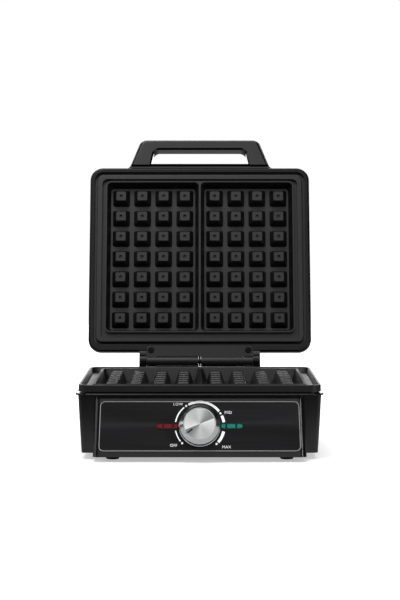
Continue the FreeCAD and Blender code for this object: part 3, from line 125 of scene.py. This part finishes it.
# ---------------------------------------------------------------- materials
def nonstick():
    """Cast aluminium sprayed with black non-stick: a fine grain, a soft broad sheen, a little mottling."""
    made, tree = new_material("non-stick coated cast aluminium")
    # the sprayed coat's orange-peel, a little coarser than real so that it shows
    grain = add(tree, "TexNoise", {"Vector": place(tree), "Scale": 0.8, "Detail": 4.0, "Roughness": 0.7})
    patches = add(tree, "TexNoise", {"Vector": place(tree), "Scale": 0.05, "Detail": 3.0})
    bump = add(tree, "Bump", {"Height": grain.outputs[0], "Strength": 0.35, "Distance": 0.22 * MM})
    shader = add(
        tree,
        "BsdfPrincipled",
        {
            "Base Color": tint(tree, patches.outputs[0], "#0b0b0c", "#111112"),
            "Roughness": spread(tree, grain.outputs[0], 0.26, 0.54),
            "IOR": 1.45,
            "Specular IOR Level": 0.5,
            "Normal": bump.outputs[0],
        },
    )
    surface(tree, shader)
    return made


def gloss_abs():
    """Black ABS moulded in a polished tool: deep black, sharp reflections with a slight long ripple."""
    made, tree = new_material("black ABS, polished mould")
    ripple = add(tree, "TexNoise", {"Vector": place(tree), "Scale": 0.04, "Detail": 2.0})
    bump = add(tree, "Bump", {"Height": ripple.outputs[0], "Strength": 0.12, "Distance": 0.6 * MM})
    shader = add(
        tree,
        "BsdfPrincipled",
        {
            "Base Color": colour("#060607"),
            "Roughness": spread(tree, ripple.outputs[0], 0.17, 0.24),
            "IOR": 1.50,
            "Specular IOR Level": 0.5,
            "Normal": bump.outputs[0],
        },
    )
    surface(tree, shader)
    return made


def satin_phenolic():
    """Black heat-proof phenolic with a fine spark-eroded grain: satin, faint speckle in the highlights."""
    made, tree = new_material("black phenolic, satin")
    grain = add(tree, "TexNoise", {"Vector": place(tree), "Scale": 2.2, "Detail": 3.0})
    bump = add(tree, "Bump", {"Height": grain.outputs[0], "Strength": 0.15, "Distance": 0.08 * MM})
    shader = add(
        tree,
        "BsdfPrincipled",
        {
            "Base Color": colour("#060607"),
            "Roughness": spread(tree, grain.outputs[0], 0.20, 0.30),
            "IOR": 1.50,
            "Specular IOR Level": 0.2,
            "Normal": bump.outputs[0],
        },
    )
    surface(tree, shader)
    return made


def brushed_black_steel():
    """Black-tinted stainless sheet with a long horizontal brushed grain that stretches the highlights."""
    made, tree = new_material("black stainless, brushed")
    # real brush lines are 0.05 mm apart; drawn at about 0.5 mm so that they show
    along = place(tree, (0.012, 1.6, 1.6))
    lines = add(tree, "TexNoise", {"Vector": along, "Scale": 1.0, "Detail": 5.0, "Roughness": 0.7})
    bump = add(tree, "Bump", {"Height": lines.outputs[0], "Strength": 0.25, "Distance": 0.05 * MM})
    shader = add(
        tree,
        "BsdfPrincipled",
        {
            "Base Color": tint(tree, lines.outputs[0], "#1b1b1c", "#39393b"),
            "Metallic": 1.0,
            "Roughness": spread(tree, lines.outputs[0], 0.38, 0.50),
            "Anisotropic": 0.7,
            "Normal": bump.outputs[0],
        },
    )
    surface(tree, shader)
    return made


def turned_tangent(tree, centre, axis):
    """Direction round an axis at each point, in world space, from object coordinates."""
    where = add(tree, "TexCoord").outputs["Object"]
    out = add(tree, "VectorMath", {0: where, 1: tuple(centre)}, operation="SUBTRACT")
    round_it = add(tree, "VectorMath", {0: tuple(axis), 1: out.outputs[0]}, operation="CROSS_PRODUCT")
    unit = add(tree, "VectorMath", {0: round_it.outputs[0]}, operation="NORMALIZE")
    turned = add(
        tree,
        "VectorTransform",
        {"Vector": unit.outputs[0]},
        vector_type="VECTOR",
        convert_from="OBJECT",
        convert_to="WORLD",
    )
    return out.outputs[0], turned.outputs[0]


def spun_aluminium(centre, axis):
    """Aluminium faced on a lathe: fine rings, and a fan of bright and dark wedges painted into its colour as a
    painted reflection.
    """
    made, tree = new_material("spun aluminium, painted reflection fan")
    out, tangent = turned_tangent(tree, centre, axis)
    radius = add(tree, "VectorMath", {0: out}, operation="LENGTH").outputs["Value"]
    # rings 0.35 mm apart, coarser than the real 0.1 mm feed so that they show
    rings = add(
        tree, "TexNoise", {"W": radius, "Scale": 1 / (0.35 * MM), "Detail": 2.0}, noise_dimensions="1D"
    )
    bump = add(tree, "Bump", {"Height": rings.outputs[0], "Strength": 0.2, "Distance": 0.03 * MM})
    # the fan, a painted reflection in the colour: two dark wedges opposite each other, each with one sharp side
    across = add(tree, "VectorMath", {0: out, 1: (1, 0, 0)}, operation="DOT_PRODUCT").outputs["Value"]
    upward = add(tree, "VectorMath", {0: out, 1: tuple(DIAL_UP)}, operation="DOT_PRODUCT").outputs["Value"]
    angle = add(tree, "Math", {0: upward, 1: across}, operation="ARCTAN2").outputs[0]
    turned = add(tree, "Math", {0: angle, 1: math.radians(360 - PAINTED_FAN_START)}, operation="ADD").outputs[0]
    share = add(tree, "Math", {0: turned, 1: math.pi}, operation="DIVIDE").outputs[0]
    wedge = add(tree, "Math", {0: share}, operation="FRACT").outputs[0]
    fan = add(
        tree,
        "MapRange",
        {"Value": wedge, "From Max": 0.5, "To Min": 0.0, "To Max": 1.0},
        interpolation_type="SMOOTHSTEP",
    ).outputs[0]
    # painted reflection: the fan turns the metal's colour from dark to bright
    lit = tint(tree, fan, "#8b8c8e", "#f4f4f4")
    ringed = add(
        tree,
        "Mix",
        {"Factor": 0.5, "A": lit, "B": tint(tree, rings.outputs[0], "#c9cacc", "#ffffff")},
        data_type="RGBA",
        blend_type="MULTIPLY",
    )
    shader = add(
        tree,
        "BsdfPrincipled",
        {
            "Base Color": ringed.outputs["Result"],
            "Metallic": 1.0,
            "Roughness": spread(tree, rings.outputs[0], 0.26, 0.36),
            "Anisotropic": 0.85,
            "Tangent": tangent,
            "Normal": bump.outputs[0],
        },
    )
    surface(tree, shader)
    return made


def turned_aluminium(centre, axis):
    """Aluminium turned and polished, on the knob's flank and bevel: near-mirror, slightly stretched."""
    made, tree = new_material("polished turned aluminium")
    _, tangent = turned_tangent(tree, centre, axis)
    shader = add(
        tree,
        "BsdfPrincipled",
        {
            "Base Color": colour("#c4c5c6"),
            "Metallic": 1.0,
            "Roughness": 0.16,
            "Anisotropic": 0.5,
            "Tangent": tangent,
        },
    )
    surface(tree, shader)
    return made


def plain_metal(name, shade, roughness):
    """Bare metal with a fine uneven grain in its shine."""
    made, tree = new_material(name)
    noise = add(tree, "TexNoise", {"Vector": place(tree), "Scale": 1.2, "Detail": 4.0})
    shader = add(
        tree,
        "BsdfPrincipled",
        {
            "Base Color": colour(shade),
            "Metallic": 1.0,
            "Roughness": spread(tree, noise.outputs[0], roughness - 0.06, roughness + 0.08),
        },
    )
    surface(tree, shader)
    return made


def black_enamel():
    """Die-cast zinc with stoved black paint: satin with a slight orange-peel."""
    made, tree = new_material("black stoved paint on zinc")
    peel = add(tree, "TexNoise", {"Vector": place(tree), "Scale": 0.7, "Detail": 2.0})
    bump = add(tree, "Bump", {"Height": peel.outputs[0], "Strength": 0.5, "Distance": 0.25 * MM})
    shader = add(
        tree,
        "BsdfPrincipled",
        {
            "Base Color": tint(tree, peel.outputs[0], "#0c0c0e", "#141416"),
            "Roughness": spread(tree, peel.outputs[0], 0.30, 0.56),
            "IOR": 1.5,
            "Specular IOR Level": 0.36,
            "Normal": bump.outputs[0],
        },
    )
    surface(tree, shader)
    return made


def lens_plastic(name, deep, bright, glow):
    """Tinted clear polycarbonate over a small lamp: three lighter windows with dark ribs between them."""
    made, tree = new_material(name)
    where = add(tree, "TexCoord").outputs["Object"]
    cloud = add(tree, "TexNoise", {"Vector": place(tree), "Scale": 0.9, "Detail": 2.0}).outputs[0]
    apart = add(tree, "SeparateXYZ", {"Vector": where}).outputs["X"]
    sideways = add(tree, "Math", {0: apart}, operation="ABSOLUTE").outputs[0]
    ribs = [
        add(tree, "Math", {0: sideways, 1: rib * MM}, operation="SUBTRACT").outputs[0] for rib in LENS_RIBS
    ]
    far = [add(tree, "Math", {0: rib}, operation="ABSOLUTE").outputs[0] for rib in ribs]
    nearest = add(tree, "Math", {0: far[0], 1: far[1]}, operation="MINIMUM").outputs[0]
    out = add(tree, "VectorMath", {0: where, 1: tuple(DIAL_CENTRE)}, operation="SUBTRACT").outputs[0]
    upward = add(tree, "VectorMath", {0: out, 1: tuple(DIAL_UP)}, operation="DOT_PRODUCT").outputs["Value"]
    off_middle = add(tree, "Math", {0: upward}, operation="ABSOLUTE").outputs[0]
    along = add(tree, "MapRange", {"Value": nearest, "From Min": 0.7 * MM, "From Max": 1.5 * MM}).outputs[0]
    over = add(
        tree,
        "MapRange",
        {"Value": off_middle, "From Min": 1.3 * MM, "From Max": 2.5 * MM, "To Min": 1.0, "To Max": 0.0},
    ).outputs[0]
    window = add(tree, "Math", {0: along, 1: over}, operation="MULTIPLY").outputs[0]
    uneven = spread(tree, cloud, 0.45, 1.2)
    patchy = add(tree, "Math", {0: window, 1: uneven}, operation="MULTIPLY").outputs[0]
    shader = add(
        tree,
        "BsdfPrincipled",
        {
            "Base Color": tint(tree, patchy, deep, bright),
            "Roughness": 0.12,
            "IOR": 1.58,
            "Specular IOR Level": 0.15,
            "Emission Color": tint(tree, patchy, "#000000", glow),
            "Emission Strength": 0.13,
        },
    )
    surface(tree, shader)
    return made


def dielectric(name, dark, light, low, high, grain, glow=0.0):
    """Plain rubber, ceramic or print: slight mottling of colour and shine, and a painted glow where glow is given.
    """
    made, tree = new_material(name)
    noise = add(tree, "TexNoise", {"Vector": place(tree), "Scale": grain, "Detail": 3.0})
    bump = add(tree, "Bump", {"Height": noise.outputs[0], "Strength": 0.15, "Distance": 0.08 * MM})
    shader = add(
        tree,
        "BsdfPrincipled",
        {
            "Base Color": tint(tree, noise.outputs[0], dark, light),
            "Roughness": spread(tree, noise.outputs[0], low, high),
            "IOR": 1.5,
            "Normal": bump.outputs[0],
            "Emission Color": colour(light),
            "Emission Strength": glow,
        },
    )
    surface(tree, shader)
    return made


MATERIALS = {
    "gloss_black": gloss_abs(),
    "satin_black": satin_phenolic(),
    "nonstick": nonstick(),
    "brushed_black_steel": brushed_black_steel(),
    "red_lens": lens_plastic("red polycarbonate", "#2c0103", "#6e060c", "#900a10"),
    "green_lens": lens_plastic("green polycarbonate", "#022c26", "#107f6e", "#18b096"),
    "lamp_glass": dielectric("lamp glass", "#d8d8d8", "#e8e8e8", 0.05, 0.10, 0.5),
    "bright_metal": turned_aluminium(DIAL_CENTRE, DIAL_OUT),
    "spun_aluminium": spun_aluminium(DIAL_CENTRE, DIAL_OUT),
    "steel": plain_metal("zinc-plated steel", "#8f8f8d", 0.34),
    "black_steel": plain_metal("black-oxide steel", "#18181a", 0.36),
    "ceramic": dielectric("steatite ceramic", "#cfc8ba", "#e2dccf", 0.5, 0.7, 0.8),
    "rubber": dielectric("moulded rubber", "#141414", "#1c1c1c", 0.6, 0.8, 1.5),
    "element_steel": plain_metal("oxidised heater sheath", "#3f3b37", 0.5),
    "sheet_aluminium": plain_metal("mill-finish aluminium", "#bfc0c1", 0.4),
    "brass": plain_metal("brass", "#c9a45c", 0.35),
    "wire_sleeve": dielectric("silicone glass sleeve", "#b8b4aa", "#cdc9c0", 0.6, 0.75, 2.0),
    "hinge_metal": black_enamel(),
}
SLOT_OF = {s["node"]: s["material_slot"] for s in frame["record"]["subparts"]}
# the white print is given a painted glow, so that it shows brighter than the lamps light it
PRINT_WHITE_PAINTED_GLOW = dielectric("white pad print, painted glow", "#f4f4f4", "#ffffff", 0.45, 0.55, 1.0, glow=0.4)


def dress(obj, slot):
    obj.data.materials.clear()
    obj.data.materials.append(MATERIALS[slot])


for name, obj in nodes.items():
    dress(obj, SLOT_OF[name])


# ---------------------------------------------------------------- shaped pieces
def piece_from(bm, name, material, body, smooth=True):
    mesh = bpy.data.meshes.new(name)
    if smooth:
        for face in bm.faces:
            face.smooth = True
    bm.to_mesh(mesh)
    bm.free()
    made = bpy.data.objects.new(name, mesh)
    scene.collection.objects.link(made)
    mesh.materials.append(material)
    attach(made, body)
    return made


def body_of(node):
    return next(b for b, members in frame["record"]["behaviour"]["bodies"].items() if node in members)


def refine(node):
    """Stands in for a CAD node with a welded copy that is smooth where it curves and sharp at its edges."""
    bm = bmesh.new()
    bm.from_mesh(nodes[node].data)
    bmesh.ops.remove_doubles(bm, verts=bm.verts, dist=0.004 * MM)
    bmesh.ops.dissolve_degenerate(bm, edges=bm.edges, dist=0.002 * MM)
    for e in bm.edges:
        e.smooth = len(e.link_faces) == 2 and e.calc_face_angle(0) < SHARP_ANGLE
    slot = SLOT_OF[node]
    made = piece_from(bm, node + "_shown", MATERIALS[slot], body_of(node))
    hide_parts(node)


for name in SLOT_OF:
    refine(name)


# ---------------------------------------------------------------- dial print
def ring_piece(name, radius, width, start, end):
    """Thin printed arc round the dial, from start to end in degrees."""
    bm = bmesh.new()
    turn = math.radians(start)
    inner, outer = (
        bm.verts.new((math.cos(turn) * far, math.sin(turn) * far, PRINT_LOW))
        for far in (radius - width / 2, radius + width / 2)
    )
    first = bm.edges.new((inner, outer))
    bmesh.ops.spin(
        bm,
        geom=[inner, outer, first],
        cent=(0, 0, 0),
        axis=(0, 0, 1),
        angle=math.radians(end - start),
        steps=max(2, round(abs(end - start) / 3)),
    )
    thick = bmesh.ops.extrude_face_region(bm, geom=bm.faces[:])
    raised = [v for v in thick["geom"] if isinstance(v, bmesh.types.BMVert)]
    bmesh.ops.translate(bm, verts=raised, vec=(0, 0, PRINT_THICK))
    bmesh.ops.recalc_face_normals(bm, faces=bm.faces)
    bmesh.ops.transform(bm, matrix=PANEL, verts=bm.verts)
    return piece_from(bm, name, PRINT_WHITE_PAINTED_GLOW, "base", smooth=False)


def dot_piece(name, radius, turn, size):
    bm = bmesh.new()
    angle = math.radians(turn)
    bmesh.ops.create_cone(
        bm, cap_ends=True, segments=32, radius1=size, radius2=size, depth=PRINT_THICK
    )
    middle = Vector((math.cos(angle) * radius, math.sin(angle) * radius, (PRINT_HIGH + PRINT_LOW) / 2))
    bmesh.ops.translate(bm, verts=bm.verts, vec=middle)
    bmesh.ops.transform(bm, matrix=PANEL, verts=bm.verts)
    return piece_from(bm, name, PRINT_WHITE_PAINTED_GLOW, "base", smooth=False)


def word_piece(name, text, middle, height):
    """A printed word, centred at middle on the fascia."""
    curve = bpy.data.curves.new(name, "FONT")
    curve.body = text
    curve.size = height * 1.36
    curve.align_x = "CENTER"
    curve.align_y = "CENTER"
    curve.offset = -0.022 * MM
    curve.space_character = 1.1
    curve.extrude = PRINT_THICK / 2
    curve.resolution_u = 4
    words = bpy.data.objects.new(name, curve)
    scene.collection.objects.link(words)
    bpy.context.view_layer.update()
    mesh = bpy.data.meshes.new_from_object(words.evaluated_get(bpy.context.evaluated_depsgraph_get()))
    bpy.data.objects.remove(words)
    shift = Matrix.Translation((middle[0], middle[1], (PRINT_HIGH + PRINT_LOW) / 2))
    mesh.transform(PANEL @ shift)
    made = bpy.data.objects.new(name, mesh)
    scene.collection.objects.link(made)
    mesh.materials.clear()
    mesh.materials.append(PRINT_WHITE_PAINTED_GLOW)
    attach(made, "base")
    return made


def border_piece(name, node, corner, width):
    """Painted highlight round the fascia: its outline, rounded at the corners, as a thin raised strip of bright
    aluminium standing in for the highlight on its bevelled edge.
    """
    to_panel = PANEL.inverted()
    points = [to_panel @ v.co for v in nodes[node].data.vertices]
    low = min(p.y for p in points)
    high = max(p.y for p in points)
    half_low = max(p.x for p in points if p.y < low + 2 * corner)
    half_high = max(p.x for p in points if p.y > high - 1.2 * corner)
    bm = bmesh.new()
    outline = [(-half_low, low), (half_low, low), (half_high, high), (-half_high, high)]
    corners = [bm.verts.new((x, y, PRINT_LOW)) for x, y in outline]
    bm.faces.new(corners)
    bmesh.ops.bevel(
        bm, geom=bm.verts[:], offset=corner, segments=6, profile=0.5, affect="VERTICES", material=-1
    )
    bmesh.ops.inset_region(bm, faces=bm.faces[:], thickness=EDGE_IN, use_boundary=True, use_even_offset=True)
    bmesh.ops.delete(bm, geom=[f for f in bm.faces if len(f.verts) == 4], context="FACES")
    bmesh.ops.inset_region(bm, faces=bm.faces[:], thickness=width, use_boundary=True, use_even_offset=True)
    bmesh.ops.delete(bm, geom=[f for f in bm.faces if len(f.verts) > 4], context="FACES")
    thick = bmesh.ops.extrude_face_region(bm, geom=bm.faces[:])
    raised = [v for v in thick["geom"] if isinstance(v, bmesh.types.BMVert)]
    bmesh.ops.translate(bm, verts=raised, vec=(0, 0, PRINT_THICK))
    bmesh.ops.recalc_face_normals(bm, faces=bm.faces)
    bmesh.ops.transform(bm, matrix=PANEL, verts=bm.verts)
    return piece_from(bm, name, MATERIALS["sheet_aluminium"], "base", smooth=False)


# a bright strip standing in for the highlight on the fascia's bevelled edge
border_piece("fascia_edge_highlight", "fascia", FASCIA_CORNER, EDGE_WIDTH)

DOTS = {"off": 224.2, "low": 123.4, "mid": 32.0, "max": -46.7}
for word, turn in DOTS.items():
    dot_piece(f"dial_dot_{word}", ARC_R, turn, DOT_R)
ARCS = [(218.5, 190.5, 1.1), (170.0, 129.5, 1.3), (117.5, 37.8, 2.3), (25.5, 9.5, 2.7), (-12.5, -41.0, 2.9)]
for index, (start, end, width) in enumerate(ARCS):
    ring_piece(f"dial_arc_{index + 1}", ARC_R, width * MM, start, end)
WORDS = {
    "OFF": (-26.8, -19.9),
    "LOW": (-22.2, 22.7),
    "MID": (29.3, 14.1),
    "MAX": (27.5, -21.5),
}
for word, (x, y) in WORDS.items():
    word_piece(f"dial_word_{word.lower()}", word, (x * MM, y * MM), WORD_HEIGHT)


def pointer_piece(name, near, far, width):
    """Dark strip in the knob's pointer groove, rounded at its edges: painted shade standing in for the shade in
    the groove.
    """
    cap = [PANEL.inverted() @ v.co for v in nodes["knob_cap"].data.vertices]
    top = max(p.z for p in cap)
    bm = bmesh.new()
    bmesh.ops.create_cube(bm, size=1.0)
    bmesh.ops.scale(bm, verts=bm.verts, vec=(far - near, width, 0.4 * MM))
    bmesh.ops.bevel(
        bm, geom=bm.edges[:], offset=0.15 * MM, segments=2, profile=0.5, affect="EDGES", material=-1
    )
    bmesh.ops.translate(bm, verts=bm.verts, vec=((near + far) / 2, 0, top - 0.3 * MM))
    turned = Matrix.Rotation(math.radians(POINTER), 3, "Z")
    bmesh.ops.rotate(bm, verts=bm.verts, cent=(0, 0, 0), matrix=turned)
    bmesh.ops.transform(bm, matrix=PANEL, verts=bm.verts)
    return piece_from(bm, name, MATERIALS["black_steel"], "knob")


# painted shade: a dark strip where the pointer groove is in shade
pointer_piece("pointer_groove_shade", 9.0 * MM, 15.2 * MM, 1.2 * MM)


# ---------------------------------------------------------------- floor, light, camera
def stage_floor():
    bm = bmesh.new()
    bmesh.ops.create_grid(bm, x_segments=1, y_segments=1, size=30.0)
    mesh = bpy.data.meshes.new("floor")
    bm.to_mesh(mesh)
    bm.free()
    floor = bpy.data.objects.new("floor", mesh)
    scene.collection.objects.link(floor)
    made, tree = new_material("pale floor")
    where = add(tree, "TexCoord").outputs["Object"]
    away = add(tree, "VectorMath", {0: where}, operation="LENGTH").outputs["Value"]
    # lit from beneath away from the model, as on a light table
    lit = add(
        tree,
        "MapRange",
        {"Value": away, "From Min": 0.2, "From Max": 0.7, "To Min": 0.45, "To Max": 1.0},
        interpolation_type="SMOOTHSTEP",
    ).outputs[0]
    # only two cards, right in front of the model and behind it, are pale in its reflections
    narrowed = add(tree, "Mapping", {"Vector": where, "Scale": (0.4, 1, 1)}).outputs[0]
    from_cards = [
        add(tree, "VectorMath", {0: narrowed, 1: middle}, operation="DISTANCE").outputs["Value"]
        for middle in ((0.06, -0.15, 0), (0.0, 0.38, 0))
    ]
    nearest = add(tree, "Math", {0: from_cards[0], 1: from_cards[1]}, operation="MINIMUM").outputs[0]
    card = add(
        tree,
        "MapRange",
        {"Value": nearest, "From Min": 0.12, "From Max": 0.42, "To Min": 0.8, "To Max": 0.0},
    ).outputs[0]
    seen = add(tree, "LightPath").outputs["Is Camera Ray"]
    pale = add(tree, "Math", {0: seen, 1: card}, operation="MAXIMUM").outputs[0]
    glow = add(tree, "Math", {0: seen, 1: lit}, operation="MULTIPLY").outputs[0]
    shader = add(
        tree,
        "BsdfPrincipled",
        {
            "Base Color": tint(tree, pale, "#3c3c3c", "#f6f6f6"),
            "Roughness": 0.9,
            "Emission Color": colour("#ffffff"),
            "Emission Strength": glow,
        },
    )
    surface(tree, shader)
    mesh.materials.append(made)


def soft_light(name, where, aim, size, power):
    data = bpy.data.lights.new(name, "AREA")
    data.shape = "RECTANGLE"
    data.size, data.size_y = size
    data.energy = power
    lamp = bpy.data.objects.new(name, data)
    lamp.location = where
    lamp.rotation_euler = (Vector(aim) - Vector(where)).to_track_quat("-Z", "Y").to_euler()
    lamp.visible_camera = False
    scene.collection.objects.link(lamp)


stage_floor()
soft_light("front", (-0.25, -2.0, 1.45), (0, 0.1, 0.15), (2.0, 1.4), 11.0)
soft_light("key", (-0.6, -0.9, 1.9), (0, 0.05, 0.15), (0.8, 0.6), 14)
soft_light("overhead", (0.2, -0.6, 2.3), (0, 0, 0), (1.6, 1.2), 22)
soft_light("strip_right", (1.25, -1.25, 0.5), (0.1, 0, 0.08), (0.16, 0.9), 6)
soft_light("side_left", (-1.7, -0.1, 0.8), (-0.1, 0, 0.1), (1.6, 1.3), 8)
soft_light("behind", (0.0, 1.9, 1.3), (0, 0, 0.15), (1.6, 0.8), 14)
soft_light("behind_low", (0.3, 1.9, 0.45), (0, 0.1, 0.1), (1.8, 0.6), 9)

world = bpy.data.worlds.new("studio")
world.use_nodes = True
tree = world.node_tree
tree.nodes.clear()
# a pale backdrop to the eye, a dim room to the reflections
seen = add(tree, "LightPath").outputs["Is Camera Ray"]
bright = add(tree, "MapRange", {"Value": seen, "To Min": 0.06, "To Max": 1.0})
sky = add(tree, "Background", {"Color": colour("#ffffff"), "Strength": bright.outputs[0]})
add(tree, "OutputWorld", {"Surface": sky.outputs[0]})
scene.world = world
scene.view_settings.view_transform = "Standard"

camera_data = bpy.data.cameras.new("camera")
camera_data.sensor_width = 36
camera_data.lens = 113.64
camera_data.clip_end = 100
camera = bpy.data.objects.new("camera", camera_data)
camera.location = (0.0003, -2.0424, 0.2684)
camera.rotation_euler = (math.radians(90 - 3.02), 0, 0)
scene.collection.objects.link(camera)
scene.camera = camera
